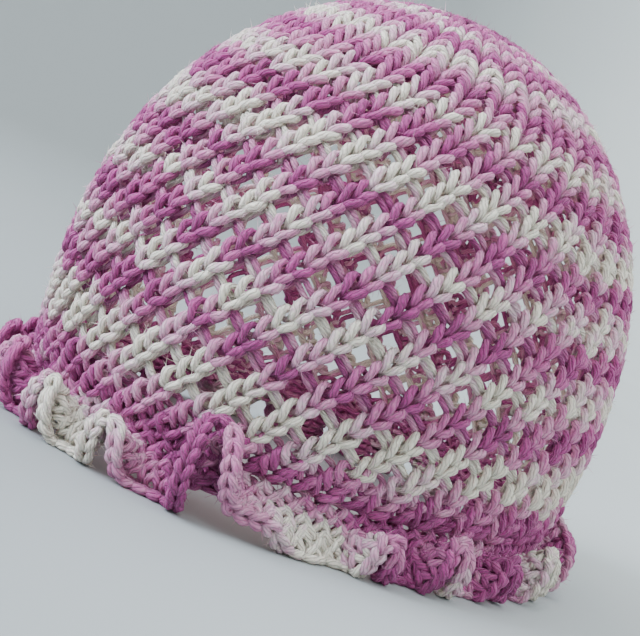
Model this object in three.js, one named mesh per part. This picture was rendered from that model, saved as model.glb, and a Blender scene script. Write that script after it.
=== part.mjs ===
import * as THREE from 'three';

// A hand-knit toque: a lacy openwork cap with a gathered frill round its brim.
// Millimetres, +Z up. The front faces -Y, and the cap stands on the lowest folds of its frill.
// Angles run round the cap from the front towards +X, in degrees.

// Form of the cap over an adult head.
const halfDepth = 112.7; // front to back, where the side curve would be widest
const halfWidth = 85.9; // side to side
const domeHeight = 132.2; // from the frill's seam to the pole
const topPower = 2.15; // how late the side turns in towards the pole
const sidePower = 2.085; // how round the shoulder is
const brimTuck = 0.141; // how far the cap draws in again at the brim
const seamHeight = 13.4; // height of the frill's seam above the floor

// Knit fabric.
const wall = 4.2; // thickness of the knit wall
const nodeGap = 0.3; // clear gap between neighbouring solids
const chainCount = 36; // leaning chains of knit stitches round the cap
const chainRise = 1.5; // how far a chain stands out of the wall
const firstChain = 5.7; // angle of the first chain's crest at the seam
const chainTurn = 0.61; // degrees that a chain moves round for each millimetre up the wall
const turnFade = 110; // distance up the wall where the chains start to run straight

// Zones of the wall, as distances up it from the frill's seam.
const bandEnd = 9.5;
const laceEnd = 124;

// The lace: each groove between two chains has three long slots, made of four rows each.
const slots = [
  { start: 14, end: 46 },
  { start: 50, end: 82 },
  { start: 86, end: 114 },
];
const slotRows = [
  { along: 0, narrowing: 0.3 },
  { along: 0.2, narrowing: 0 },
  { along: 0.8, narrowing: 0 },
  { along: 1, narrowing: 0.3 },
];
const grooveShare = 0.4; // part of a chain's pitch that the groove takes

// The frill: wide folds hang down from the seam, and narrow flutes between them turn up.
const frillWall = 3.6;
const foldReach = 14.4; // width of the frill at the hanging folds
const seamTurn = -4; // turn of the fabric at the seam: it follows the wall
const turnShare = 0.52; // part of the frill's width in which it turns
const fluteTop = 0.11; // from its middle a flute keeps its shape for this share of the pitch
const fluteFoot = 0.37; // and from here on the fabric hangs
const stepsPerFlute = 8;
// One row for each flute: the turn of its fabric at the edge, its width, how far its crest
// spreads to both sides and leans to one, how far its foot draws together, and the turn of the
// fold after it.
const flutes = [
  { angle: 20, turn: 176, reach: 26.5, spread: 1.8, lean: -4.4, pinch: 6.8, fold: 80 },
  { angle: 36.5, turn: 45, reach: 15, spread: 0, lean: 0, pinch: 0, fold: 24 },
  { angle: 50, turn: 112, reach: 13.8, spread: 0.4, lean: 0, pinch: 5, fold: 18 },
  { angle: 63.5, turn: 136, reach: 14, spread: 0.6, lean: 0, pinch: 5.4, fold: 22 },
  { angle: 78, turn: 118, reach: 13.4, spread: 0, lean: 0.5, pinch: 4.6, fold: 18 },
  { angle: 93, turn: 136, reach: 14.2, spread: 0.8, lean: 0, pinch: 5.6, fold: 26 },
  { angle: 110, turn: 150, reach: 14.8, spread: 0.6, lean: -0.8, pinch: 6, fold: 16 },
  { angle: 129, turn: 138, reach: 14.6, spread: 1, lean: 0.6, pinch: 6.4, fold: 20 },
  { angle: 147, turn: 124, reach: 13.6, spread: 0.4, lean: 0, pinch: 5.4, fold: 18 },
  { angle: 166, turn: 150, reach: 14.8, spread: 1, lean: 0.8, pinch: 5.6, fold: 28 },
  { angle: 184, turn: 134, reach: 14.2, spread: 0.6, lean: -0.6, pinch: 5.2, fold: 18 },
  { angle: 203, turn: 154, reach: 15, spread: 1, lean: 0.5, pinch: 5.6, fold: 22 },
  { angle: 221, turn: 126, reach: 13.6, spread: 0.4, lean: 0, pinch: 5.2, fold: 16 },
  { angle: 240, turn: 148, reach: 14.8, spread: 0.8, lean: -0.7, pinch: 6, fold: 24 },
  { angle: 257, turn: 132, reach: 14, spread: 0.6, lean: 0.4, pinch: 5.6, fold: 18 },
  { angle: 274, turn: 152, reach: 14.8, spread: 1, lean: 0, pinch: 5.8, fold: 22 },
  { angle: 291, turn: 128, reach: 13.6, spread: 0.6, lean: -0.5, pinch: 5.4, fold: 16 },
  { angle: 309, turn: 142, reach: 14.4, spread: 1, lean: 0.5, pinch: 5.6, fold: 24 },
  { angle: 327, turn: 146, reach: 14.6, spread: 0.8, lean: 0, pinch: 5.2, fold: 28 },
  { angle: 344, turn: 132, reach: 13.8, spread: 0.2, lean: 0, pinch: 4.6, fold: 32 },
  { angle: 359.5, turn: 124, reach: 13.6, spread: 0, lean: 0, pinch: 5, fold: 38 },
];
// Shares of the spread and the pinch at parts of the way from a flute to the next fold's middle.
const fluteShape = [
  { part: 0, spread: 0, pinch: 0 },
  { part: 0.125, spread: 1, pinch: 0 },
  { part: 0.25, spread: 0.5, pinch: 0.5 },
  { part: 0.375, spread: 0, pinch: 1 },
  { part: 0.5, spread: 0, pinch: 0 },
];

// Girth of the cap at a share of its height, as a share of the half width and half depth.
function girth(share) {
  const top = Math.pow(Math.max(0, 1 - Math.pow(share, topPower)), 1 / sidePower);
  return top * (1 - brimTuck * (1 - share) ** 2);
}

// Distance up the wall against share of the height, finer towards the pole.
const wallSteps = 600;
const meanRadius = Math.sqrt(halfDepth * halfWidth);
const wallTable = [{ distance: 0, share: 0 }];
for (let step = 1; step <= wallSteps; step += 1) {
  const last = wallTable[step - 1];
  const share = 1 - (1 - step / wallSteps) ** 2;
  const rise = domeHeight * (share - last.share);
  const inward = meanRadius * (girth(share) - girth(last.share));
  wallTable.push({ distance: last.distance + Math.hypot(rise, inward), share });
}
const poleDistance = wallTable[wallSteps].distance;

function shareAt(distance) {
  let step = 1;
  while (step < wallSteps && wallTable[step].distance < distance) {
    step += 1;
  }
  const low = wallTable[step - 1];
  const high = wallTable[step];
  const part = (distance - low.distance) / (high.distance - low.distance);
  return low.share + part * (high.share - low.share);
}

// A point of the wall: angle round it, distance up it, and offset outwards from its middle.
function wallPoint(angle, distance, offset) {
  const radians = THREE.MathUtils.degToRad(angle);
  const share = Math.min(shareAt(distance), 1);
  const width = girth(share);
  const slopeStep = 1e-4;
  const low = Math.max(0, share - slopeStep);
  const high = Math.min(1, share + slopeStep);
  const slope = (girth(high) - girth(low)) / (high - low);
  const normal = new THREE.Vector3(
    Math.sin(radians) / halfWidth,
    -Math.cos(radians) / halfDepth,
    -slope / domeHeight,
  ).normalize();
  return new THREE.Vector3(
    halfWidth * width * Math.sin(radians),
    -halfDepth * width * Math.cos(radians),
    seamHeight + domeHeight * share,
  ).addScaledVector(normal, offset);
}

// Degrees that a chain has moved round at a distance up the wall.
function chainShift(distance) {
  const past = Math.max(0, distance - turnFade);
  const fade = laceEnd - turnFade;
  return chainTurn * (Math.min(distance, turnFade) + Math.min(past, fade) / 2);
}

// Angle of a place counted in chains: a groove and then a crest take up each pitch.
const pitch = 360 / chainCount;
const crestShare = (1 + grooveShare) / 2;

function chainAngle(place, distance) {
  return firstChain + (place - crestShare) * pitch + chainShift(distance);
}

// A closed solid from a grid of rows up and columns round, with an outer and an inner face.
// Cells that isOpen names are left out and walled round, and a pole closes the last row.
function ringSolid(columns, rows, pointAt, isOpen, pole) {
  const points = [];
  const faces = [];
  for (let row = 0; row < rows; row += 1) {
    for (let column = 0; column < columns; column += 1) {
      points.push(pointAt(column, row, 1), pointAt(column, row, -1));
    }
  }
  const index = (column, row, inside) => 2 * (row * columns + (column % columns)) + inside;
  const open = (column, row) => row < 0 || row >= rows - 1
    || isOpen((column + columns) % columns, row);
  const quad = (a, b, c, d) => faces.push(a, b, c, a, c, d);
  const wallAlong = (columnA, rowA, columnB, rowB) => quad(
    index(columnB, rowB, 0),
    index(columnA, rowA, 0),
    index(columnA, rowA, 1),
    index(columnB, rowB, 1),
  );
  for (let row = 0; row < rows - 1; row += 1) {
    for (let column = 0; column < columns; column += 1) {
      if (isOpen(column, row)) {
        continue;
      }
      const next = column + 1;
      quad(index(column, row, 0), index(next, row, 0), index(next, row + 1, 0), index(column, row + 1, 0));
      quad(index(column, row, 1), index(column, row + 1, 1), index(next, row + 1, 1), index(next, row, 1));
      if (open(column, row - 1)) {
        wallAlong(column, row, next, row);
      }
      if (open(next, row)) {
        wallAlong(next, row, next, row + 1);
      }
      if (open(column, row + 1) && !(pole && row === rows - 2)) {
        wallAlong(next, row + 1, column, row + 1);
      }
      if (open(column - 1, row)) {
        wallAlong(column, row + 1, column, row);
      }
    }
  }
  if (pole) {
    const tip = points.length;
    points.push(pole.outer, pole.inner);
    for (let column = 0; column < columns; column += 1) {
      faces.push(index(column, rows - 1, 0), index(column + 1, rows - 1, 0), tip);
      faces.push(index(column + 1, rows - 1, 1), index(column, rows - 1, 1), tip + 1);
    }
  }
  const geometry = new THREE.BufferGeometry().setFromPoints(points);
  geometry.setIndex(faces);
  return geometry;
}

const group = new THREE.Group();
group.name = 'knit_toque';

function addPiece(name, colour, geometry) {
  geometry.computeVertexNormals();
  const material = new THREE.MeshStandardMaterial({ color: colour, roughness: 0.95, metalness: 0 });
  const mesh = new THREE.Mesh(geometry, material);
  mesh.name = name;
  group.add(mesh);
}

const never = () => false;

// Lace body: the columns are the two edges of each groove and the crest of each chain.
const laceColumns = [
  { share: 0, rise: 0, intoGroove: 1 },
  { share: grooveShare, rise: 0, intoGroove: -1 },
  { share: crestShare, rise: chainRise, intoGroove: 0 },
];
const laceRows = [{ distance: bandEnd + nodeGap, narrowing: 0, slot: false }];
for (const { start, end } of slots) {
  for (const { along, narrowing } of slotRows) {
    laceRows.push({ distance: start + along * (end - start), narrowing, slot: along < 1 });
  }
}
laceRows.push({ distance: laceEnd, narrowing: 0, slot: false });

function lacePoint(column, row, side) {
  const { share, rise, intoGroove } = laceColumns[column % laceColumns.length];
  const { distance, narrowing } = laceRows[row];
  const chain = Math.floor(column / laceColumns.length);
  const place = chain + share + intoGroove * narrowing * grooveShare;
  const offset = side * wall / 2 + (side > 0 ? rise : rise / 3);
  return wallPoint(chainAngle(place, distance), distance, offset);
}
const laceOpen = (column, row) => column % laceColumns.length === 0 && laceRows[row].slot;
addPiece('lace_body', 0xd9a3cc, ringSolid(
  chainCount * laceColumns.length,
  laceRows.length,
  lacePoint,
  laceOpen,
));

// Crown top: the chains run up to the pole and flatten as they are knitted together.
const crownStart = laceEnd + nodeGap;
const crownRows = [
  { along: 0, rise: 1.3 },
  { along: 0.24, rise: 1.2 },
  { along: 0.46, rise: 1 },
  { along: 0.67, rise: 0.7 },
  { along: 0.87, rise: 0.4 },
];
const poleDip = 1.2; // how far the drawn-up pole sits below the dome

function crownPoint(column, row, side) {
  const { along, rise } = crownRows[row];
  const distance = crownStart + along * (poleDistance - crownStart);
  const crest = column % 2;
  const place = Math.floor(column / 2) + crestShare - (crest ? 0 : 0.5);
  const offset = side * wall / 2 + (crest ? rise : 0) * (side > 0 ? 1 : 1 / 3);
  return wallPoint(chainAngle(place, laceEnd), distance, offset);
}
const poleHeight = seamHeight + domeHeight - poleDip;
addPiece('crown_top', 0xd08cc4, ringSolid(2 * chainCount, crownRows.length, crownPoint, never, {
  outer: new THREE.Vector3(0, 0, poleHeight + wall / 2),
  inner: new THREE.Vector3(0, 0, poleHeight - wall / 2),
}));

// Brim band: plain dense rounds with low ribs.
const bandRise = 0.8;
const bandRows = [0, bandEnd];

function bandPoint(column, row, side) {
  const crest = column % 2;
  const place = column / 2 + crestShare;
  const offset = side * wall / 2 + (crest || side < 0 ? 0 : bandRise);
  return wallPoint(chainAngle(place, bandRows[row]), bandRows[row], offset);
}
addPiece('brim_band', 0xb65ba8, ringSolid(2 * chainCount, bandRows.length, bandPoint, never));

// Frill: the middle of its fabric, at a step round and a share of its width down from the seam.
const frillSteps = flutes.length * stepsPerFlute;
const drapeSteps = 24;

function frillAngle(step) {
  const count = flutes.length;
  const place = (step / stepsPerFlute + count) % count;
  const from = flutes[Math.floor(place)];
  const to = flutes[(Math.floor(place) + 1) % count];
  const span = (to.angle - from.angle + 360) % 360;
  return from.angle + (place - Math.floor(place)) * span;
}

// How far the edge of a flute moves away from its middle.
function fluteAside({ spread, pinch }, part) {
  const last = fluteShape.length - 2;
  const row = Math.min(last, fluteShape.findLastIndex((shape) => shape.part <= part));
  const low = fluteShape[row];
  const high = fluteShape[row + 1];
  const share = (part - low.part) / (high.part - low.part);
  const mix = THREE.MathUtils.lerp;
  return spread * mix(low.spread, high.spread, share) - pinch * mix(low.pinch, high.pinch, share);
}

function frillMiddle(step, width) {
  const count = flutes.length;
  const place = (step / stepsPerFlute + count) % count;
  const part = place - Math.floor(place);
  const nearest = flutes[Math.round(place) % count];
  const { fold } = flutes[Math.floor(place)];
  const flank = (Math.min(part, 1 - part) - fluteTop) / (fluteFoot - fluteTop);
  const crest = 0.5 + 0.5 * Math.cos(Math.PI * THREE.MathUtils.clamp(flank, 0, 1));
  const turn = fold + (nearest.turn - fold) * crest;
  const reach = foldReach + (nearest.reach - foldReach) * crest;
  const seamSlope = THREE.MathUtils.degToRad(seamTurn);
  let outward = Math.sin(seamSlope) * nodeGap;
  let drop = Math.cos(seamSlope) * nodeGap;
  for (let drape = 0; drape < drapeSteps; drape += 1) {
    const share = Math.min(1, (drape + 0.5) / drapeSteps * width / turnShare);
    const slope = THREE.MathUtils.degToRad(seamTurn + (turn - seamTurn) * share);
    outward += Math.sin(slope) * reach * width / drapeSteps;
    drop += Math.cos(slope) * reach * width / drapeSteps;
  }
  const seam = wallPoint(frillAngle(step), 0, 0);
  const normal = wallPoint(frillAngle(step), 0, 1).sub(seam);
  normal.z = 0;
  normal.normalize();
  const sideways = new THREE.Vector3(-normal.y, normal.x, 0);
  const opened = fluteAside(nearest, Math.min(part, 1 - part)) * (part < 0.5 ? 1 : -1);
  const aside = (opened + nearest.lean * crest) * width ** 2;
  seam.addScaledVector(normal, outward).addScaledVector(sideways, aside);
  seam.z -= drop;
  return seam;
}

// A face of the frill. The folds that reach the floor are pressed flat on it.
const frillWidths = [1, 0.7, 0.42, 0.21, 0];

function frillPoint(column, row, side) {
  const width = frillWidths[row];
  const offset = side * frillWall / 2;
  if (width === 0) {
    const shift = frillMiddle(column, 0).sub(wallPoint(frillAngle(column), 0, 0));
    return wallPoint(frillAngle(column), 0, offset).add(shift);
  }
  const reachStep = 0.02;
  const round = frillMiddle(column + 0.1, width).sub(frillMiddle(column - 0.1, width));
  const up = frillMiddle(column, width - reachStep).sub(frillMiddle(column, width + reachStep));
  const normal = round.cross(up).normalize();
  const point = frillMiddle(column, width).addScaledVector(normal, offset);
  point.z = Math.max(0, point.z);
  return point;
}
addPiece('ruffle', 0xe7c3de, ringSolid(frillSteps, frillWidths.length, frillPoint, never));

// The cap stands with the middle of its underside on the origin.
const box = new THREE.Box3().setFromObject(group);
const centre = box.getCenter(new THREE.Vector3());
group.position.set(-centre.x, -centre.y, -box.min.z);

export default group;
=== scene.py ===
import math

import bpy
import numpy as np
from mathutils import Matrix, Vector


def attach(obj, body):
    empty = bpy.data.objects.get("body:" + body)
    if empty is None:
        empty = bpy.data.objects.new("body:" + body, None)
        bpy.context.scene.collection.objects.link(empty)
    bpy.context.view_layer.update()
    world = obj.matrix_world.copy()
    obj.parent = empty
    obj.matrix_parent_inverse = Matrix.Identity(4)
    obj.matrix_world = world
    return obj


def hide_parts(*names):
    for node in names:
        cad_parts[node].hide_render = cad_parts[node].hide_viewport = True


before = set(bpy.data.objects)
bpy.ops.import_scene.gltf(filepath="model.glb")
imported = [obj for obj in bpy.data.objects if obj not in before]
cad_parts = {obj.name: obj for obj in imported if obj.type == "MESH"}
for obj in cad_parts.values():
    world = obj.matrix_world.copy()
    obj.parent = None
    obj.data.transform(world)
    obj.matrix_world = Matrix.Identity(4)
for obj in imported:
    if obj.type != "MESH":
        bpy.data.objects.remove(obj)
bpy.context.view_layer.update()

# Sizes are in mm and angles in degrees until a mesh is made, and in metres from there on.
mm = 0.001
rng = np.random.default_rng(24)

# Form of the cap: the same curve as the solids, so the yarn lies in their walls.
cap = {
    "halfDepth": 112.7,
    "halfWidth": 85.9,
    "domeHeight": 132.2,
    "topPower": 2.15,  # 2 would be a plain ellipse from the side, and more is fuller
    "sidePower": 2.085,
    "brimTuck": 0.141,  # share that the wall draws in at the brim
    "seamHeight": 13.4,  # where the frill joins, above the floor
    "shift": (0.197, 0.605, 0.0),  # puts the middle of the underside on the origin
    "wallSteps": 600,  # steps of the table that turns distance up the wall into height
    "slopeStep": 1e-4,
}

# Chains of stitches: their count, lean and place round the cap.
chains = {
    "count": 36,
    "turn": 0.61,  # degrees round for each mm up the wall
    "turnFade": 110.0,  # above this the chains start to run straight
    "straight": 124.0,  # and from here on they do
    "phase": 6.3,  # angle of the first chain at the seam
    "firstChain": 14,  # the rounds start at this chain, at the back
    "laceStart": 7.5,  # distance up the wall of the first round of lace
    "rowHeight": 3.5,
    "crownRowHeight": 3.9,
    "tiltShare": 0.75,  # a stitch leans by this share of its chain's lean
}
chainPitch = 360 / chains["count"]  # degrees from one chain to the next

yarn = {
    "radius": 0.98,
    "sides": 6,
    "plies": 6,
    "twist": 15.0,  # length in which a ply goes once round the yarn
    "thickJitter": 0.09,
    "hairLength": 2.8,
    "hairRadius": 0.08,  # a true fibre would be too fine to show
    "hairDensity": 72000.0,  # loose fibre ends in each square metre of the yarn's surface
    "hairSlant": 1.25,  # in radians to each side
    "hairTurn": 6.2,  # and nearly all the way round
    "hairSizes": (0.45, 1.3),
}


def girthAt(share):
    top = np.maximum(0.0, 1 - share ** cap["topPower"]) ** (1 / cap["sidePower"])
    return top * (1 - cap["brimTuck"] * (1 - share) ** 2)


def wallTable():
    steps = np.arange(cap["wallSteps"] + 1) / cap["wallSteps"]
    share = 1 - (1 - steps) ** 2
    girth = girthAt(share)
    meanRadius = math.sqrt(cap["halfDepth"] * cap["halfWidth"])
    length = np.hypot(cap["domeHeight"] * np.diff(share), meanRadius * np.diff(girth))
    return np.concatenate(([0.0], np.cumsum(length))), share


wallDistances, wallShares = wallTable()


# Points of the wall: angle round from the front, distance up from the seam, offset outwards.
def wallPoints(angle, distance, offset):
    radians = np.radians(angle)
    share = np.interp(distance, wallDistances, wallShares)
    girth = girthAt(share)
    low = np.maximum(0.0, share - cap["slopeStep"])
    high = np.minimum(1.0, share + cap["slopeStep"])
    slope = (girthAt(high) - girthAt(low)) / (high - low)
    normal = np.stack(
        [
            np.sin(radians) / cap["halfWidth"],
            -np.cos(radians) / cap["halfDepth"],
            -slope / cap["domeHeight"],
        ],
        axis=-1,
    )
    normal /= np.linalg.norm(normal, axis=-1, keepdims=True)
    point = np.stack(
        [
            cap["halfWidth"] * girth * np.sin(radians),
            -cap["halfDepth"] * girth * np.cos(radians),
            cap["seamHeight"] + cap["domeHeight"] * share + np.minimum(distance, 0.0),
        ],
        axis=-1,
    )
    return point + normal * np.asarray(offset)[..., None], normal


# Length of one degree round the wall.
def degreeLength(angle, distance):
    radians = np.radians(angle)
    girth = girthAt(np.interp(distance, wallDistances, wallShares))
    spread = np.hypot(cap["halfWidth"] * np.cos(radians), cap["halfDepth"] * np.sin(radians))
    return girth * spread * math.pi / 180


def chainShift(distance):
    past = np.clip(distance - chains["turnFade"], 0, chains["straight"] - chains["turnFade"])
    return chains["turn"] * (np.minimum(distance, chains["turnFade"]) + past / 2)


# Lean of a chain from straight up the wall, in degrees.
def chainLean(angle, distance):
    fade = chains["straight"] - chains["turnFade"]
    turn = chains["turn"] * np.clip((chains["straight"] - distance) / fade, 0, 1)
    return np.degrees(np.arctan(turn * degreeLength(angle, distance)))


# Sizes of the loops, in mm. In the lace every second round is knitted two together.
loop = {
    "wideHalf": 2.4,
    "wideLength": 5.7,
    "narrowHalf": 2.05,
    "narrowLength": 5.2,
    "plainHalf": 3.9,
    "bandShare": 0.46,
    "bandLength": 4.8,
    "plainShare": 0.47,  # a plain loop's half width, as a share of the loops' pitch
    "plainLength": 5.5,
    "openFrom": 80.0,  # up the wall the loops of the lace open out to plain ones
    "openTo": 122.0,
    "leanJitter": 3.5,  # in degrees; no two stitches made by hand are alike
    "sizeJitter": 0.05,
    "placeJitter": 0.16,
    "outJitter": 0.12,
    "ladderJitter": 0.2,
}

# One side of a knit loop: it comes up from behind, spreads, and goes over to the back again.
# Columns: share of the loop's length along the chain, share of its half width to the left,
# outwards in mm, share of the yarn's radius.
loopHalf = np.array(
    [
        (-0.2, 0.64, -1.25, 0.85),
        (-0.03, 0.32, -0.7, 0.95),
        (0.18, 0.34, 0.95, 1.08),
        (0.48, 0.68, 1.5, 1.22),
        (0.77, 1.0, 1.35, 1.22),
        (1.0, 0.93, 0.45, 1.08),
        (1.13, 0.52, -0.8, 0.92),
        (1.12, 0.0, -1.35, 0.85),
    ]
)
mirror = np.array([1, -1, 1, 1])
loopAlong, loopSide, loopOut, loopThick = np.concatenate([loopHalf, loopHalf[-2::-1] * mirror]).T
knitCuts = np.array([1, 2, 2, 2, 1, 1, 1, 1, 1, 1, 2, 2, 2, 1, 1])  # parts of each stretch

# The ladder between two chains. Columns: right of the chain's loop, up the wall, outwards,
# share of the yarn's radius. Two rounds cross side by side, from high on one chain to low on
# the next, and leave the lace open between crossings.
upperCrossing = np.array(
    [
        (3.0, 0.6, -1.7, 0.8),
        (5.0, 3.2, -1.5, 0.88),
        (6.4, 3.8, -0.5, 0.88),
        (8.2, 2.3, 0.2, 0.92),
        (10.1, 0.7, -0.4, 0.8),
    ]
)
upperCuts = np.array([1, 1, 2, 2, 1])
lowerCrossing = np.array(
    [
        (3.0, 1.0, -1.9, 0.8),
        (5.4, 4.3, -2.0, 0.88),
        (7.6, 6.6, -1.6, 0.88),
        (8.5, 6.2, -0.8, 0.88),
        (10.2, 4.7, -0.1, 0.92),
        (12.0, 3.1, -0.5, 0.88),
        (12.6, 1.4, -1.3, 0.8),
    ]
)
lowerCuts = np.array([1, 1, 1, 2, 2, 1, 1])
ladderPitch = 13.4  # distance between two chains that the ladder's columns are drawn for

# Dye up the wall: magenta bands with light pink edges and white between them.
dye = {
    "bands": (3.2, 29.8, 51.6, 71.8, 95.2, 116.4, 137.8),
    "period": 21.6,
    "crownStart": 146.0,
    "crownDepth": 0.34,
    "tipStart": 160.0,
    "tipDepth": 0.8,
    "crownSpeckle": 0.2,
    "rowJitter": 1.1,
    "depthJitter": 0.05,
}
# The bands wander. Columns: how far, waves round the cap, distance up it for one radian, phase.
dyeWaves = ((0.9, 2, 31.0, 0.0), (0.7, 3, -19.0, 1.3), (0.5, 7, 11.0, 2.1))
# How deep the dye is at a distance from a band's middle, as a share of the period.
dyeEdge = np.array(
    [
        (0.0, 0.84),
        (0.07, 0.76),
        (0.14, 0.5),
        (0.21, 0.37),
        (0.3, 0.28),
        (0.37, 0.16),
        (0.43, 0.03),
        (0.5, 0.0),
    ]
)


def dyeDepth(angle, distance):
    place = distance + sum(
        far * np.sin(waves * np.radians(angle) + distance / rise + phase)
        for far, waves, rise, phase in dyeWaves
    )
    away = np.min(np.abs(place[..., None] - np.array(dye["bands"])), axis=-1) / dye["period"]
    depth = np.interp(away, *dyeEdge.T)
    speckle = rng.normal(0, dye["crownSpeckle"], depth.shape)
    crownDepth = np.interp(
        place,
        [dye["crownStart"], dye["tipStart"]],
        [dye["crownDepth"], dye["tipDepth"]],
    )
    return np.where(place > dye["crownStart"], crownDepth + speckle, depth)


# Columns of control points: angle, distance, outwards, radius share, dye depth. On the frill,
# and once a path lies on the wall, its place as x, y and z stands for the first three.
pointColumns = 5
outColumn = 2


# Control points of knit loops on the wall, one row of points for each loop.
def loopPoints(angle, distance, lean, halfWidth, length):
    count = len(angle)
    turned = np.radians(lean + rng.normal(0, loop["leanJitter"], count))[:, None]
    size = (1 + rng.normal(0, loop["sizeJitter"], (2, count)))[:, :, None]
    along = loopAlong * size[0] * length[:, None]
    side = loopSide * size[1] * halfWidth[:, None]
    moved = rng.normal(0, loop["placeJitter"], (2, count, 1))
    right = along * np.sin(turned) - side * np.cos(turned) + moved[0]
    up = along * np.cos(turned) + side * np.sin(turned) + moved[1]
    out = loopOut + rng.normal(0, loop["outJitter"], count)[:, None]
    thick = loopThick * (1 + rng.normal(0, yarn["thickJitter"], along.shape))
    depth = dyeDepth(angle, distance + rng.normal(0, dye["rowJitter"], count))
    depth = depth + rng.normal(0, dye["depthJitter"], count)
    return np.stack(
        [
            angle[:, None] + right / degreeLength(angle, distance)[:, None],
            distance[:, None] + up,
            out,
            thick,
            np.broadcast_to(depth[:, None], along.shape),
        ],
        axis=-1,
    )


# Control points of the ladder beside each loop of a row.
def ladderPoints(shape, angle, distance):
    count = len(angle)
    right, up, out, thick = shape.T
    degrees = right * chainPitch / ladderPitch
    wobble = rng.normal(0, loop["ladderJitter"], (2, count, 1))
    depth = dyeDepth(angle, distance + rng.normal(0, dye["rowJitter"], count))
    full = (count, len(shape))
    return np.stack(
        [
            angle[:, None] + degrees + wobble[0] / degreeLength(angle, distance)[:, None],
            distance[:, None] + up + wobble[1],
            np.broadcast_to(out, full),
            np.broadcast_to(thick, full),
            np.broadcast_to(depth[:, None], full),
        ],
        axis=-1,
    )


# Smooth path through control points, each stretch cut into its own number of parts.
def smoothPath(points, cuts):
    last = len(points) - 1
    cuts = cuts[:last]
    index = np.repeat(np.arange(last), cuts)
    first = np.repeat(np.cumsum(cuts) - cuts, cuts)
    part = ((np.arange(len(index)) - first) / np.repeat(cuts, cuts))[:, None]
    before = points[np.maximum(index - 1, 0)]
    start = points[index]
    end = points[index + 1]
    after = points[np.minimum(index + 2, last)]
    curve = 0.5 * (
        2 * start
        + (end - before) * part
        + (2 * before - 5 * start + 4 * end - after) * part**2
        + (3 * start - 3 * end + after - before) * part**3
    )
    return np.concatenate([curve, points[-1:]])


# Rows of a zone as one running yarn: control points in angle and distance, and the cuts.
def laceRows(firstRow, lastRow):
    points = []
    cuts = []
    for row in range(firstRow, lastRow):
        chain = chains["firstChain"] + np.arange(chains["count"])
        share = np.arange(chains["count"]) / chains["count"]
        distance = chains["laceStart"] + chains["rowHeight"] * (row + share)
        angle = chains["phase"] + chainPitch * chain + chainShift(distance)
        lean = chainLean(angle, distance) * chains["tiltShare"]
        pitch = chainPitch * degreeLength(angle, distance)
        opening = np.clip((distance - loop["openFrom"]) / (loop["openTo"] - loop["openFrom"]), 0, 1)
        isWide = row % 2 == 0
        wide = loop["wideHalf"] if isWide else loop["narrowHalf"]
        halfWidth = wide + opening * (np.minimum(loop["plainShare"] * pitch, loop["plainHalf"]) - wide)
        chainLength = loop["wideLength"] if isWide else loop["narrowLength"]
        length = chainLength + opening * (loop["plainLength"] - chainLength)
        loops = loopPoints(angle, distance, lean, halfWidth, length)
        between = lowerCrossing if isWide else upperCrossing
        betweenCuts = lowerCuts if isWide else upperCuts
        ladder = ladderPoints(between, angle, distance)
        points.append(np.concatenate([loops, ladder], axis=1).reshape(-1, pointColumns))
        cuts.append(np.tile(np.concatenate([knitCuts, betweenCuts]), chains["count"]))
    return np.concatenate(points), np.concatenate(cuts)


# Rounds with loops only, such as the band and the crown.
# Each row: distance up the wall where it starts and where it ends, number of loops.
def plainRows(rows, widthShare, loopLength, leanShare, raised=0.0):
    points = []
    cuts = []
    for distance, nextDistance, count in rows:
        step = np.arange(count)
        up = distance + (nextDistance - distance) * step / count
        start = chains["phase"] + chainPitch * chains["firstChain"]
        angle = start + 360 / count * step + chainShift(up)
        pitch = 360 / count * degreeLength(angle, up)
        halfWidth = np.minimum(widthShare * pitch, loop["plainHalf"])
        length = np.full(count, loopLength)
        loops = loopPoints(angle, up, chainLean(angle, up) * leanShare, halfWidth, length)
        loops[:, :, outColumn] += (raised * np.where(step % 2 == 0, 1, -1))[:, None]
        points.append(loops.reshape(-1, pointColumns))
        cuts.append(np.tile(knitCuts, count))
    return np.concatenate(points), np.concatenate(cuts)


# Frill: the same folds as the solid. Columns: angle of a flute, turn of the fabric at its edge,
# width of the fabric, how far the crest spreads to both sides and leans to one, how far the foot
# draws together, turn of the fold that follows.
flutes = np.array(
    [
        (20, 176, 26.5, 1.8, -4.4, 6.8, 80),
        (36.5, 45, 15, 0, 0, 0, 24),
        (50, 112, 13.8, 0.4, 0, 5, 18),
        (63.5, 136, 14, 0.6, 0, 5.4, 22),
        (78, 118, 13.4, 0, 0.5, 4.6, 18),
        (93, 136, 14.2, 0.8, 0, 5.6, 26),
        (110, 150, 14.8, 0.6, -0.8, 6, 16),
        (129, 138, 14.6, 1, 0.6, 6.4, 20),
        (147, 124, 13.6, 0.4, 0, 5.4, 18),
        (166, 150, 14.8, 1, 0.8, 5.6, 28),
        (184, 134, 14.2, 0.6, -0.6, 5.2, 18),
        (203, 154, 15, 1, 0.5, 5.6, 22),
        (221, 126, 13.6, 0.4, 0, 5.2, 16),
        (240, 148, 14.8, 0.8, -0.7, 6, 24),
        (257, 132, 14, 0.6, 0.4, 5.6, 18),
        (274, 152, 14.8, 1, 0, 5.8, 22),
        (291, 128, 13.6, 0.6, -0.5, 5.4, 16),
        (309, 142, 14.4, 1, 0.5, 5.6, 24),
        (327, 146, 14.6, 0.8, 0, 5.2, 28),
        (344, 132, 13.8, 0.2, 0, 4.6, 32),
        (359.5, 124, 13.6, 0, 0, 5, 38),
    ]
)
fluteAngle, fluteTurn, fluteWidth, fluteSpread, fluteLean, flutePinch, foldTurn = flutes.T
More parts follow.
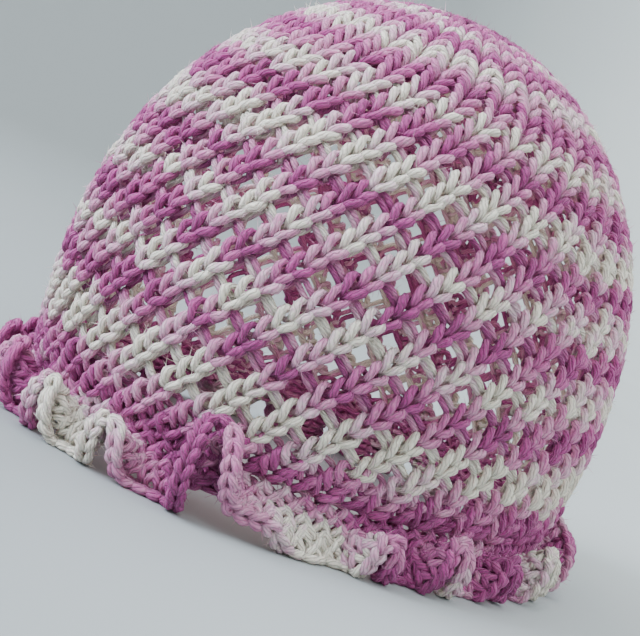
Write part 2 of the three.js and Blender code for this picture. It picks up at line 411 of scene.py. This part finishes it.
# Columns: part of the way to the next flute, share of the spread, share of the pinch.
fluteShape = np.array(
    [(0.0, 0.0, 0.0), (0.125, 1.0, 0.0), (0.25, 0.5, 0.5), (0.375, 0.0, 1.0), (0.5, 0.0, 0.0)]
)
frill = {
    "foldReach": 14.4,  # width of the fabric in the folds between flutes
    "seamTurn": -4.0,
    "turnShare": 0.52,  # share of its width over which the fabric turns
    "fluteTop": 0.11,  # from its middle a flute keeps its shape for this share of the pitch
    "fluteFoot": 0.37,  # and from here on the fabric hangs
    "gap": 0.3,  # from the band
    "columns": 840,  # steps round of the surface that the yarn lies on
    "smoothing": 4,  # steps to each side that corners are rounded over
    "lowWidth": -0.3,  # the grid starts above the seam, so that the first loops hang from the band
    "rows": 44,
    "drapeSteps": 24,
    "rounds": 6,
    "loopPitch": 5.7,
    "startShare": 0.1,  # the first loops stand in from the edge by this share of a round
    "loopReach": 1.5,  # a loop's length, as a share of its round's width
    "loopLengths": (3.2, 5.4),  # its least and most
    "loopOut": 0.9,
    "dyeJitter": 4.0,  # in columns
}
rim = {
    "pitch": 3.9,
    "halfWidth": 1.55,
    "out": 0.55,
    "raised": 0.2,
    "dyeJitter": 3.0,
}


# Rounds off the corners of values that run round the frill.
def smoothRound(values):
    reach = frill["smoothing"]
    return np.mean([np.roll(values, step) for step in range(-reach, reach + 1)], axis=0)


# The frill as a grid: at each column round it the fabric turns outwards on its way down.
def frillSurface():
    column = np.arange(frill["columns"])
    place = column * len(flutes) / frill["columns"]
    low = np.floor(place).astype(int)
    part = place - low
    following = fluteAngle[(low + 1) % len(flutes)]
    angle = fluteAngle[low] + part * ((following - fluteAngle[low]) % 360)
    nearest = np.round(place).astype(int) % len(flutes)
    near = np.minimum(part, 1 - part)
    flank = (near - frill["fluteTop"]) / (frill["fluteFoot"] - frill["fluteTop"])
    crest = 0.5 + 0.5 * np.cos(math.pi * np.clip(flank, 0, 1))
    fold = foldTurn[low]
    shapePart, spreadShare, pinchShare = fluteShape.T
    spread = np.interp(near, shapePart, spreadShare) * fluteSpread[nearest]
    pinch = np.interp(near, shapePart, pinchShare) * flutePinch[nearest]
    opened = smoothRound((spread - pinch) * np.where(part < 0.5, 1, -1))
    sideShift = smoothRound(opened + fluteLean[nearest] * crest)
    turn = smoothRound(fold + (fluteTurn[nearest] - fold) * crest)
    reach = smoothRound(frill["foldReach"] + (fluteWidth[nearest] - frill["foldReach"]) * crest)
    seam, normal = wallPoints(angle, np.zeros_like(angle), np.zeros_like(angle))
    normal[:, 2] = 0
    normal /= np.linalg.norm(normal, axis=1, keepdims=True)
    sideways = np.stack([-normal[:, 1], normal[:, 0], np.zeros_like(angle)], axis=1)
    seamTurn = math.radians(frill["seamTurn"])
    widths = np.linspace(frill["lowWidth"], 1.0, frill["rows"])
    points = np.zeros((frill["columns"], frill["rows"], 3))
    for row, width in enumerate(widths):
        outward = np.full(frill["columns"], math.sin(seamTurn) * frill["gap"])
        drop = np.full(frill["columns"], math.cos(seamTurn) * frill["gap"])
        for drape in range(frill["drapeSteps"]):
            share = (drape + 0.5) / frill["drapeSteps"] * width / frill["turnShare"]
            share = min(1.0, max(0.0, share))
            slope = seamTurn + (np.radians(turn) - seamTurn) * share
            outward += np.sin(slope) * reach * width / frill["drapeSteps"]
            drop += np.cos(slope) * reach * width / frill["drapeSteps"]
        aside = sideShift * width**2
        points[:, row] = seam + normal * outward[:, None] + sideways * aside[:, None]
        points[:, row, 2] -= drop
    across = np.roll(points, -1, axis=0) - np.roll(points, 1, axis=0)
    down = np.gradient(points, axis=1)
    normals = np.cross(across, -down)
    normals /= np.linalg.norm(normals, axis=2, keepdims=True)
    columnLength = np.linalg.norm(across, axis=2) / 2
    rowLength = np.linalg.norm(down, axis=2)
    return points, normals, columnLength, rowLength, angle


frillPointsGrid, frillNormals, frillColumnLength, frillRowLength, frillAngles = frillSurface()


# A value of the frill's grid at places between its columns and rows.
def onFrill(grid, column, row):
    lastRow = frill["rows"] - 1.001  # just short of the edge, so that a next row exists
    row = np.clip(row, 0, lastRow)
    left = np.floor(column).astype(int)
    upper = np.floor(row).astype(int)
    across = column - left
    down = row - upper
    right = (left + 1) % frill["columns"]
    left = left % frill["columns"]
    if grid.ndim == 3:
        across = across[..., None]
        down = down[..., None]
    return (
        grid[left, upper] * (1 - across) * (1 - down)
        + grid[right, upper] * across * (1 - down)
        + grid[left, upper + 1] * (1 - across) * down
        + grid[right, upper + 1] * across * down
    )


def widthRow(width):
    return (width - frill["lowWidth"]) / (1 - frill["lowWidth"]) * (frill["rows"] - 1)


# Dye where the frill joins the band: it comes and goes in waves round the cap.
seamDye = {
    "depth": 0.52,
    "swing": 0.25,
    "waves": 9,
    "jitter": 0.06,
    "from": 0.5,  # width of the frill where the edge's dye gives way to it
    "fade": 0.3,
}
# Dye along the edge of the frill. Columns: angle, dye depth.
frillDye = np.array(
    [
        (0, 0.2),
        (4, 0.38),
        (9, 0.5),
        (13, 0.86),
        (19, 0.86),
        (22, 0.4),
        (27, 0.34),
        (31, 0.2),
        (35, 0.04),
        (44, 0.0),
        (47, 0.25),
        (50, 0.4),
        (53, 0.75),
        (58, 0.9),
        (61, 0.55),
        (64, 0.38),
        (67, 0.08),
        (71, 0.35),
        (75, 0.86),
        (82, 0.86),
        (87, 0.3),
        (92, 0.02),
        (100, 0.0),
        (106, 0.4),
        (114, 0.9),
        (124, 0.4),
        (134, 0.0),
        (146, 0.1),
        (154, 0.9),
        (166, 0.5),
        (178, 0.0),
        (190, 0.35),
        (200, 0.95),
        (214, 0.4),
        (226, 0.0),
        (238, 0.3),
        (250, 0.9),
        (262, 0.3),
        (274, 0.0),
        (286, 0.4),
        (296, 0.9),
        (306, 0.8),
        (318, 0.3),
        (324, 0.42),
        (329, 0.7),
        (336, 0.68),
        (340, 0.3),
        (343, 0.02),
        (352, 0.0),
        (357, 0.1),
        (360, 0.2),
    ]
)


def frillDepth(column, width):
    angle = frillAngles[np.floor(column).astype(int) % frill["columns"]] % 360
    edge = np.interp(angle, *frillDye.T)
    seam = seamDye["depth"] + seamDye["swing"] * np.sin(np.radians(angle * seamDye["waves"]))
    seam = seam + rng.normal(0, seamDye["jitter"], angle.shape)
    share = np.clip((seamDye["from"] - width) / seamDye["fade"], 0, 1)
    return edge * (1 - share) + seam * share


# Columns of the frill's grid that lie a loop apart on one of its rows.
def evenColumns(width, spacing):
    row = np.full(frill["columns"], widthRow(width))
    lengths = onFrill(frillColumnLength, np.arange(frill["columns"], dtype=float), row)
    total = lengths.sum()
    count = int(round(total / spacing))
    reached = np.concatenate(([0.0], np.cumsum(lengths)))
    wanted = (np.arange(count) + 0.5) * total / count
    return np.interp(wanted, reached, np.arange(frill["columns"] + 1)), total / count


# On the frill the long sides of a loop are cut into more parts, as they bend with its folds.
frillCuts = np.array([1, 1, 2, 2, 2, 1, 1, 1, 1, 2, 2, 2, 1, 1, 1])


# Knit loops on the frill: positions straight away, as the frill's folds are no plain wall.
# Its rounds hold more loops towards the rim, which is what makes it flute.
def frillYarn(firstRound, lastRound):
    points = []
    cuts = []
    for knitRound in range(firstRound, lastRound):
        start = 1 - (knitRound + frill["startShare"]) / frill["rounds"]
        column, pitch = evenColumns(start, frill["loopPitch"])
        count = len(column)
        width = start - np.arange(count) / count / frill["rounds"]
        row = widthRow(width)
        reach = onFrill(frillRowLength, column, row) * (frill["rows"] - 1) / (1 - frill["lowWidth"])
        stepLength = onFrill(frillColumnLength, column, row)
        size = 1 + rng.normal(0, loop["sizeJitter"], (2, count))
        side = loopSide * (loop["plainShare"] * pitch * size[0])[:, None]
        length = np.clip(reach / frill["rounds"] * frill["loopReach"], *frill["loopLengths"])
        along = loopAlong * (length * size[1])[:, None]
        columns = column[:, None] - side / stepLength[:, None]
        rows = widthRow(width[:, None] - along / reach[:, None])
        out = loopOut * frill["loopOut"] + rng.normal(0, loop["outJitter"], count)[:, None]
        position = onFrill(frillPointsGrid, columns, rows)
        position = position + onFrill(frillNormals, columns, rows) * out[..., None]
        depth = frillDepth(column + rng.normal(0, frill["dyeJitter"], count), width)
        depth = np.broadcast_to(depth[:, None], out.shape)
        thick = loopThick * (1 + rng.normal(0, yarn["thickJitter"], out.shape))
        packed = np.concatenate([position, thick[..., None], depth[..., None]], axis=-1)
        points.append(packed.reshape(-1, pointColumns))
        cuts.append(np.tile(frillCuts, count))
    return np.concatenate(points), np.concatenate(cuts)


# The cast-on edge: a chain of loops that lies along the rim of the frill.
def rimYarn():
    column, pitch = evenColumns(1.0, rim["pitch"])
    count = len(column)
    stepLength = onFrill(frillColumnLength, column, np.full(count, widthRow(1.0)))
    columns = column[:, None] + loopAlong * pitch / stepLength[:, None]
    rows = np.full(columns.shape, widthRow(1.0))
    position = onFrill(frillPointsGrid, columns, rows)
    normal = onFrill(frillNormals, columns, rows)
    outward = position - onFrill(frillPointsGrid, columns, rows - 1)
    outward /= np.linalg.norm(outward, axis=-1, keepdims=True)
    position = position + normal * (loopSide * rim["halfWidth"])[:, None]
    position = position + outward * (loopOut * rim["out"] + rim["raised"])[:, None]
    depth = frillDepth(column + rng.normal(0, rim["dyeJitter"], count), np.ones(count))
    depth = np.broadcast_to(depth[:, None], columns.shape)
    thick = np.broadcast_to(loopThick, columns.shape)
    packed = np.concatenate([position, thick[..., None], depth[..., None]], axis=-1)
    return packed.reshape(-1, pointColumns), np.tile(np.ones(len(knitCuts), dtype=int), count)


# Control points in angle and distance become places on the wall.
def onWall(points):
    angle, distance, outwards = points[:, :3].T
    place, _ = wallPoints(angle, distance, outwards)
    return np.concatenate([place, points[:, 3:]], axis=1)


# Settings are the node's own properties or its sockets' values. Links come from other nodes.
def addNode(tree, kind, settings=(), links=()):
    node = tree.nodes.new(kind)
    for name, value in dict(settings).items():
        if isinstance(name, str) and hasattr(node, name):
            setattr(node, name, value)
        else:
            node.inputs[name].default_value = value
    for socket, source in dict(links).items():
        tree.links.new(source, node.inputs[socket])
    return node


# An sRGB colour in hex as the linear one that Blender takes.
def linearColour(text):
    parts = [int(text[i : i + 2], 16) / 255 for i in (0, 2, 4)]
    linear = [c / 12.92 if c <= 0.04045 else ((c + 0.055) / 1.055) ** 2.4 for c in parts]
    return (*linear, 1.0)


# A ramp through the colours of a table, at the places that it gives.
def colourRamp(tree, colours, factor):
    ramp = addNode(tree, "ShaderNodeValToRGB", (), {0: factor})
    stops = ramp.color_ramp.elements
    for stop, (place, colour) in zip(stops, (colours[0], colours[-1])):
        stop.position = place
        stop.color = linearColour(colour)
    for place, colour in colours[1:-1]:
        stops.new(place).color = linearColour(colour)
    return ramp


# Sizes of the patterns on the yarn, in mm, and their shares in its colour and height.
cottonLook = {
    "wanderSize": 3.333,
    "wander": 2.4,  # how far the plies stray round the yarn, in radians
    "plySharpness": 1.6,
    "fibresAcross": 5.5,  # in the yarn's radius: 0.2 mm each, as true fibres are too fine to show
    "fibreStretch": 0.16,
    "blotchSize": 2.38,
    "speckSize": 0.667,
    "relief": 0.6,
    "lightReach": 1.5,  # how far light spreads in the strand
    "streak": 1.25,
    "leastStreak": 0.3,
    "blotch": 0.34,
    "deepPower": 2.0,
    "speckFrom": 0.5,
    "lit": 1.03,  # painted light on top of a ply, where no furrow darkens the colour
    "furrowShade": -0.28,
    "speckShade": -0.35,
    "fibreShade": 0.75,
    "fibreHeight": 1.6,
    "furrowHeight": -1.3,
}
noiseMiddle = 0.5  # a noise pattern swings about this value
# From undyed cotton to where the dye is deepest. Columns: dye depth, colour.
dyeColours = (
    (0.06, "fcf3e1"),
    (0.19, "f3cddc"),
    (0.33, "e498bf"),
    (0.55, "cb5ba1"),
    (0.8, "b4408e"),
    (1.0, "8f2a6d"),
)


# Spun and plied cotton, dyed along its length: the depth of the dye comes with the yarn.
# It is matt with a soft sheen of loose fibres, and a little light goes through each strand.
def cottonYarn():
    material = bpy.data.materials.new("plied cotton yarn")
    material.use_nodes = True
    tree = material.node_tree
    tree.nodes.clear()

    def maths(operation, first, second=None, third=None):
        node = addNode(tree, "ShaderNodeMath", {"operation": operation})
        for socket, value in enumerate((first, second, third)):
            if value is None:
                continue
            if isinstance(value, (int, float)):
                node.inputs[socket].default_value = value
            else:
                tree.links.new(value, node.inputs[socket])
        return node.outputs[0]

    depth = addNode(tree, "ShaderNodeAttribute", {"attribute_name": "depth"}).outputs["Fac"]
    along = addNode(tree, "ShaderNodeAttribute", {"attribute_name": "along"}).outputs["Fac"]
    lay = addNode(tree, "ShaderNodeAttribute", {"attribute_name": "lay"}).outputs["Vector"]
    axes = addNode(tree, "ShaderNodeSeparateXYZ", (), {0: lay})
    around = maths("ARCTAN2", axes.outputs[1], axes.outputs[0])
    coordinates = addNode(tree, "ShaderNodeTexCoord").outputs["Object"]
    wander = addNode(
        tree,
        "ShaderNodeTexNoise",
        {"Scale": 1 / (cottonLook["wanderSize"] * mm), "Detail": 2.0},
        {"Vector": coordinates},
    ).outputs["Fac"]
    wandering = maths("MULTIPLY_ADD", wander, cottonLook["wander"], around)
    twisted = maths("MULTIPLY_ADD", along, 2 * math.pi / yarn["twist"], wandering)
    ply = maths("ABSOLUTE", maths("SINE", maths("MULTIPLY", twisted, yarn["plies"] / 2)))
    # The lines between the plies.
    furrow = maths("POWER", maths("SUBTRACT", 1.0, ply), cottonLook["plySharpness"])

    # Fibres run along the plies, so their pattern is drawn out along the twisted direction.
    turned = addNode(
        tree,
        "ShaderNodeCombineXYZ",
        (),
        {
            0: maths("COSINE", twisted),
            1: maths("SINE", twisted),
            2: maths("MULTIPLY", along, cottonLook["fibreStretch"]),
        },
    )
    fibres = addNode(
        tree,
        "ShaderNodeTexNoise",
        {"Scale": cottonLook["fibresAcross"], "Detail": 5.0, "Roughness": 0.7},
        {"Vector": turned.outputs[0]},
    ).outputs["Fac"]
    blotches = addNode(
        tree,
        "ShaderNodeTexNoise",
        {"Scale": 1 / (cottonLook["blotchSize"] * mm), "Detail": 2.0, "Roughness": 0.5},
        {"Vector": coordinates},
    ).outputs["Fac"]
    specks = addNode(
        tree,
        "ShaderNodeTexNoise",
        {"Scale": 1 / (cottonLook["speckSize"] * mm), "Detail": 1.0, "Roughness": 0.5},
        {"Vector": coordinates},
    ).outputs["Fac"]

    # The dye takes unevenly: streaks along the fibres and soft blotches.
    reach = maths("MULTIPLY_ADD", depth, cottonLook["streak"], cottonLook["leastStreak"])
    fibreSwing = maths("SUBTRACT", fibres, noiseMiddle)
    streaked = maths("MULTIPLY_ADD", fibreSwing, reach, depth)
    blotched = maths("SUBTRACT", blotches, noiseMiddle)
    uneven = maths("MULTIPLY_ADD", blotched, cottonLook["blotch"], streaked)
    ramp = colourRamp(tree, dyeColours, uneven)

    # Dark specks in the furrows of the deep stretches: deep dye, with painted shade where the furrows are.
    deep = maths("MULTIPLY", maths("POWER", depth, cottonLook["deepPower"]), furrow)
    dark = maths("MULTIPLY", deep, maths("GREATER_THAN", specks, cottonLook["speckFrom"]))
    # Painted shade: the colour is darkened in the furrows between the plies and lifted a little on top of
    # them.
    shade = maths("MULTIPLY_ADD", furrow, cottonLook["furrowShade"], cottonLook["lit"])
    shade = maths("MULTIPLY_ADD", dark, cottonLook["speckShade"], shade)
    shade = maths("MULTIPLY_ADD", fibreSwing, cottonLook["fibreShade"], shade)
    colour = addNode(
        tree,
        "ShaderNodeVectorMath",
        {"operation": "SCALE"},
        {0: ramp.outputs[0], "Scale": shade},
    )

    furrowHeight = maths("MULTIPLY", furrow, cottonLook["furrowHeight"])
    height = maths("MULTIPLY_ADD", fibres, cottonLook["fibreHeight"], furrowHeight)
    bump = addNode(
        tree,
        "ShaderNodeBump",
        {"Strength": 1.0, "Distance": cottonLook["relief"] * mm},
        {"Height": height},
    )
    surface = addNode(
        tree,
        "ShaderNodeBsdfPrincipled",
        {
            "Roughness": 0.85,
            "Specular IOR Level": 0.25,
            "Sheen Weight": 0.15,
            "Sheen Roughness": 0.55,
            "Subsurface Weight": 0.15,
            "Subsurface Radius": (1.0, 0.6, 0.7),
            "Subsurface Scale": cottonLook["lightReach"] * mm,
        },
        {"Base Color": colour.outputs[0], "Normal": bump.outputs[0]},
    )
    addNode(tree, "ShaderNodeOutputMaterial", (), {"Surface": surface.outputs[0]})
    return material


# Geometry Nodes tree that sweeps a round yarn along the edges of a mesh.
def yarnTree():
    tree = bpy.data.node_groups.new("sweep yarn", "GeometryNodeTree")
    sockets = (
        ("Geometry", "NodeSocketGeometry"),
        ("Yarn radius", "NodeSocketFloat"),
        ("Sides", "NodeSocketInt"),
        ("Material", "NodeSocketMaterial"),
        ("Hair length", "NodeSocketFloat"),
        ("Hair radius", "NodeSocketFloat"),
        ("Hairs in a square metre", "NodeSocketFloat"),
        ("Seed", "NodeSocketInt"),
    )
    for name, kind in sockets:
        tree.interface.new_socket(name, in_out="INPUT", socket_type=kind)
    tree.interface.new_socket("Geometry", in_out="OUTPUT", socket_type="NodeSocketGeometry")
    given = addNode(tree, "NodeGroupInput").outputs
    curve = addNode(tree, "GeometryNodeMeshToCurve", (), {"Mesh": given["Geometry"]})
    thick = addNode(tree, "GeometryNodeInputNamedAttribute", {"Name": "thick"})
    radius = addNode(
        tree,
        "ShaderNodeMath",
        {"operation": "MULTIPLY"},
        {0: thick.outputs["Attribute"], 1: given["Yarn radius"]},
    )
    circle = addNode(
        tree, "GeometryNodeCurvePrimitiveCircle", {"Radius": 1.0}, {"Resolution": given["Sides"]}
    )
    position = addNode(tree, "GeometryNodeInputPosition")
    # The way from the yarn's middle to its surface, by which the cotton draws its plies.
    profile = addNode(
        tree,
        "GeometryNodeStoreNamedAttribute",
        {"data_type": "FLOAT_VECTOR", "domain": "POINT", "Name": "lay"},
        {"Geometry": circle.outputs["Curve"], "Value": position.outputs[0]},
    )
    swept = addNode(
        tree,
        "GeometryNodeCurveToMesh",
        {"Fill Caps": True},
        {
            "Curve": curve.outputs[0],
            "Profile Curve": profile.outputs[0],
            "Scale": radius.outputs[0],
        },
    )
    smooth = addNode(tree, "GeometryNodeSetShadeSmooth", (), {"Geometry": swept.outputs[0]})
    # Loose fibre ends: thin spikes that lie over and stand off the yarn at all slants.
    roots = addNode(
        tree,
        "GeometryNodeDistributePointsOnFaces",
        (),
        {"Mesh": swept.outputs[0], "Density": given["Hairs in a square metre"], "Seed": given["Seed"]},
    )
    spike = addNode(
        tree,
        "GeometryNodeMeshCone",
        {"Vertices": 3, "Radius Top": 0.0},
        {"Radius Bottom": given["Hair radius"], "Depth": given["Hair length"]},
    )
    slant = addNode(
        tree,
        "FunctionNodeRandomValue",
        {
            "data_type": "FLOAT_VECTOR",
            0: (-yarn["hairSlant"], -yarn["hairSlant"], 0.0),
            1: (yarn["hairSlant"], yarn["hairSlant"], yarn["hairTurn"]),
        },
        {"Seed": given["Seed"]},
    )
    rotation = addNode(
        tree,
        "FunctionNodeRotateRotation",
        {"rotation_space": "LOCAL"},
        {0: roots.outputs["Rotation"], 1: slant.outputs[0]},
    )
    least, most = yarn["hairSizes"]
    size = addNode(tree, "FunctionNodeRandomValue", {2: least, 3: most}, {"Seed": given["Seed"]})
    hairs = addNode(
        tree,
        "GeometryNodeInstanceOnPoints",
        (),
        {
            "Points": roots.outputs["Points"],
            "Instance": spike.outputs["Mesh"],
            "Rotation": rotation.outputs[0],
            "Scale": size.outputs[1],
        },
    )
    fuzzy = addNode(tree, "GeometryNodeJoinGeometry", (), {0: smooth.outputs[0]})
    tree.links.new(hairs.outputs[0], fuzzy.inputs[0])
    real = addNode(tree, "GeometryNodeRealizeInstances", (), {"Geometry": fuzzy.outputs[0]})
    # No fibre goes through the floor.
    parts = addNode(tree, "ShaderNodeSeparateXYZ", (), {0: position.outputs[0]})
    above = addNode(tree, "ShaderNodeMath", {"operation": "MAXIMUM", 1: 0.0}, {0: parts.outputs[2]})
    kept = addNode(
        tree,
        "ShaderNodeCombineXYZ",
        (),
        {0: parts.outputs[0], 1: parts.outputs[1], 2: above.outputs[0]},
    )
    raised = addNode(
        tree,
        "GeometryNodeSetPosition",
        (),
        {"Geometry": real.outputs[0], "Position": kept.outputs[0]},
    )
    dressed = addNode(
        tree,
        "GeometryNodeSetMaterial",
        (),
        {"Geometry": raised.outputs[0], "Material": given["Material"]},
    )
    addNode(tree, "NodeGroupOutput", (), {"Geometry": dressed.outputs[0]})
    return tree


cotton = cottonYarn()
sweep = yarnTree()
made = []


# One yarn piece: a line of points becomes a swept mesh that stands for a node of the solids.
def addYarn(name, node, points, cuts):
    path = smoothPath(points, cuts)
    path[:, :3] += np.array(cap["shift"])
    thick, depth = path[:, 3:].T
    path[:, 2] = np.maximum(path[:, 2], yarn["radius"] * thick)
    steps = np.linalg.norm(np.diff(path[:, :3], axis=0), axis=1)
    along = np.concatenate(([0.0], np.cumsum(steps)))
    line = bpy.data.meshes.new(name)
    count = len(path)
    line.vertices.add(count)
    line.vertices.foreach_set("co", (path[:, :3] * mm).astype(np.float32).ravel())
    line.edges.add(count - 1)
    ends = np.stack([np.arange(count - 1), np.arange(1, count)], axis=1)
    line.edges.foreach_set("vertices", ends.astype(np.int32).ravel())
    for attribute, values in (("thick", thick), ("depth", depth), ("along", along)):
        layer = line.attributes.new(attribute, "FLOAT", "POINT")
        layer.data.foreach_set("value", values.astype(np.float32))
    line.update()
    strand = bpy.data.objects.new(name, line)
    bpy.context.scene.collection.objects.link(strand)
    modifier = strand.modifiers.new("sweep", "NODES")
    modifier.node_group = sweep
    values = {
        "Yarn radius": yarn["radius"] * mm,
        "Sides": yarn["sides"],
        "Material": cotton,
        "Hair length": yarn["hairLength"] * mm,
        "Hair radius": yarn["hairRadius"] * mm,
        "Hairs in a square metre": yarn["hairDensity"],
        "Seed": len(made),
    }
    for socket in sweep.interface.items_tree:
        if socket.in_out == "INPUT" and socket.name in values:
            modifier[socket.identifier] = values[socket.name]
    bpy.context.view_layer.update()
    evaluated = strand.evaluated_get(bpy.context.evaluated_depsgraph_get())
    mesh = bpy.data.meshes.new_from_object(evaluated)
    mesh.name = name
    strand.modifiers.clear()
    strand.data = mesh
    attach(strand, "root")
    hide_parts(node)
    made.append(strand)
    print(name, "points", count, "triangles", sum(len(p.vertices) - 2 for p in mesh.polygons))


# The lace in three runs of rounds, each from its first round up to the next run's.
for name, firstRow, lastRow in (
    ("lace_yarn_low", 0, 11),
    ("lace_yarn_middle", 11, 22),
    ("lace_yarn_high", 22, 33),
):
    points, cuts = laceRows(firstRow, lastRow)
    addYarn(name, "lace_body", onWall(points), cuts)

# Plain rounds between the frill and the lace, with every other loop raised.
band = {"edges": (0.3, 2.7, 5.1, 7.5), "loops": 72, "leanShare": 0.5, "raised": 0.4}
bandRows = [(low, high, band["loops"]) for low, high in zip(band["edges"], band["edges"][1:])]
points, cuts = plainRows(
    bandRows, loop["bandShare"], loop["bandLength"], band["leanShare"], band["raised"]
)
addYarn("band_yarn", "brim_band", onWall(points), cuts)

# Crown: the rounds lose columns on the way to the pole. Columns: up to this distance, loops.
crownStart = 123.0
crownLoops = ((152.0, 36), (162.0, 24), (173.0, 12), (176.0, 8))
crownRows = []
height = crownStart
while height < crownLoops[-1][0]:
    count = next(loops for end, loops in crownLoops if height < end)
    crownRows.append((height, height + chains["crownRowHeight"], count))
    height += chains["crownRowHeight"]
points, cuts = plainRows(crownRows, loop["plainShare"], loop["plainLength"], 0.0)
addYarn("crown_yarn", "crown_top", onWall(points), cuts)

for name, firstRound, lastRound in (
    ("frill_yarn_outer", 0, 2),
    ("frill_yarn_inner", 2, frill["rounds"]),
):
    points, cuts = frillYarn(firstRound, lastRound)
    addYarn(name, "ruffle", points, cuts)
points, cuts = rimYarn()
addYarn("frill_rim", "ruffle", points, cuts)

# Pale floor that curves up far away on all sides, open at the top.
room = {
    "flat": 1.6,
    "bend": 1.2,
    "height": 2.6,
    "columns": 96,
    "bendSteps": 16,
    "paintedLightWay": (0.91, 0.41, 0.0),  # painted light: the board's colour grows brighter this way, where more light falls
    "mottle": 0.1,
    "tones": ((0.0, "888e8f"), (0.5, "cdd3d3")),
}


def floorMesh():
    profile = [(0.0, 0.0), (room["flat"] / 2, 0.0), (room["flat"], 0.0)]
    for step in range(1, room["bendSteps"] + 1):
        turn = math.pi / 2 * step / room["bendSteps"]
        reach = room["flat"] + room["bend"] * math.sin(turn)
        profile.append((reach, room["bend"] * (1 - math.cos(turn))))
    profile.append((room["flat"] + room["bend"], room["height"]))
    points = [(0.0, 0.0, 0.0)]
    faces = []
    columns = room["columns"]
    for reach, height in profile[1:]:
        for column in range(columns):
            turn = 2 * math.pi * column / columns
            points.append((reach * math.cos(turn), reach * math.sin(turn), height))
    for row in range(len(profile) - 1):
        for column in range(columns):
            here = 1 + (row - 1) * columns + column
            following = 1 + (row - 1) * columns + (column + 1) % columns
            if row == 0:
                faces.append((0, 1 + column, 1 + (column + 1) % columns))
            else:
                faces.append((here, here + columns, following + columns, following))
    mesh = bpy.data.meshes.new("floor")
    mesh.from_pydata(points, [], faces)
    mesh.shade_smooth()
    return mesh


floorMaterial = bpy.data.materials.new("matt painted board")
floorMaterial.use_nodes = True
floorTree = floorMaterial.node_tree
floorTree.nodes.clear()
place = addNode(floorTree, "ShaderNodeTexCoord").outputs["Object"]
# Soft patches about 400 mm wide.
mottle = addNode(
    floorTree, "ShaderNodeTexNoise", {"Scale": 2.5, "Detail": 2.0}, {"Vector": place}
).outputs["Fac"]
# Painted light: the colour brightens along one way across the floor and its walls, where more light falls.
paintedLightFalloff = addNode(
    floorTree,
    "ShaderNodeVectorMath",
    {"operation": "DOT_PRODUCT", 1: room["paintedLightWay"]},
    {0: place},
)
mixed = addNode(
    floorTree,
    "ShaderNodeMath",
    {"operation": "MULTIPLY_ADD", 1: room["mottle"]},
    {0: mottle, 2: paintedLightFalloff.outputs["Value"]},
)
tone = colourRamp(floorTree, room["tones"], mixed.outputs[0])
board = addNode(
    floorTree,
    "ShaderNodeBsdfPrincipled",
    {"Roughness": 0.7},
    {"Base Color": tone.outputs[0]},
)
addNode(floorTree, "ShaderNodeOutputMaterial", (), {"Surface": board.outputs[0]})
floor = bpy.data.objects.new("floor", floorMesh())
floor.data.materials.append(floorMaterial)
bpy.context.scene.collection.objects.link(floor)

# Camera at the photograph's angle: turned so that the cap leans to the right in the picture.
view = {
    "azimuth": 24.5,
    "elevation": 2.0,
    "distance": 0.535,
    "targetHeight": 0.0741,
    "lean": 23.0,
    "focal": 1787.0,  # in pixels of a picture 640 wide
    "pictureWidth": 640,
    "across": 56.5,  # where the target lands, in pixels right of the picture's middle
    "above": 63.5,
    "nearest": 0.01,
}
target = Vector((0, 0, view["targetHeight"]))
azimuth = math.radians(view["azimuth"])
elevation = math.radians(view["elevation"])
towards = Vector(
    (
        math.sin(azimuth) * math.cos(elevation),
        -math.cos(azimuth) * math.cos(elevation),
        math.sin(elevation),
    )
)
levelRight = Vector((0, 0, 1)).cross(towards).normalized()
levelUp = towards.cross(levelRight)
lean = math.radians(view["lean"])
right = levelRight * math.cos(lean) + levelUp * math.sin(lean)
up = levelUp * math.cos(lean) - levelRight * math.sin(lean)
aimed = Matrix((right, up, towards)).transposed()
wanted = Vector((view["across"], view["above"], -view["focal"])).normalized()
turnToTarget = wanted.rotation_difference(Vector((0, 0, -1))).to_matrix()
camera = bpy.data.objects.new("camera", bpy.data.cameras.new("camera"))
camera.matrix_world = Matrix.Translation(target + towards * view["distance"]) @ (
    (aimed @ turnToTarget).to_4x4()
)
camera.data.lens = view["focal"] / view["pictureWidth"] * camera.data.sensor_width
camera.data.clip_start = view["nearest"]
bpy.context.scene.collection.objects.link(camera)
bpy.context.scene.camera = camera

# Soft light: a large cool key like a window, above and to the left, a weak warm fill from the
# front, and a faint one inside the cap, so that its far wall shows through the lace.
lamps = (
    {"name": "key", "way": (-0.6, 0.85, 0.3), "away": 1.2, "size": 0.9, "power": 34.0, "colour": "e9efff"},
    {"name": "fill", "way": (0.3, -0.2, 1.0), "away": 1.3, "size": 1.0, "power": 3.0, "colour": "ffdcc6"},
)
innerLamp = {"radius": 0.03, "power": 0.15, "colour": "ffeae4"}


def addLamp(light, lamp, place):
    light.energy = lamp["power"]
    light.color = linearColour(lamp["colour"])[:3]
    lampObject = bpy.data.objects.new(light.name, light)
    lampObject.location = place
    lampObject.visible_camera = False
    bpy.context.scene.collection.objects.link(lampObject)
    return lampObject


for lamp in lamps:
    light = bpy.data.lights.new(lamp["name"], "AREA")
    light.shape = "DISK"
    light.size = lamp["size"]
    across, high, near = lamp["way"]
    way = (right * across + up * high + towards * near).normalized()
    lampObject = addLamp(light, lamp, target + way * lamp["away"])
    lampObject.rotation_mode = "QUATERNION"
    lampObject.rotation_quaternion = way.to_track_quat("Z", "Y")
light = bpy.data.lights.new("inner fill", "POINT")
light.shadow_soft_size = innerLamp["radius"]
addLamp(light, innerLamp, target)

sky = {"colour": "e4e9ec", "strength": 3.9}
world = bpy.data.worlds.new("studio")
world.use_nodes = True
background = world.node_tree.nodes["Background"]
background.inputs["Color"].default_value = linearColour(sky["colour"])
background.inputs["Strength"].default_value = sky["strength"]
bpy.context.scene.world = world
print("floor, camera and", len(lamps) + 1, "lamps placed")

print("triangles in all", sum(sum(len(p.vertices) - 2 for p in o.data.polygons) for o in made))
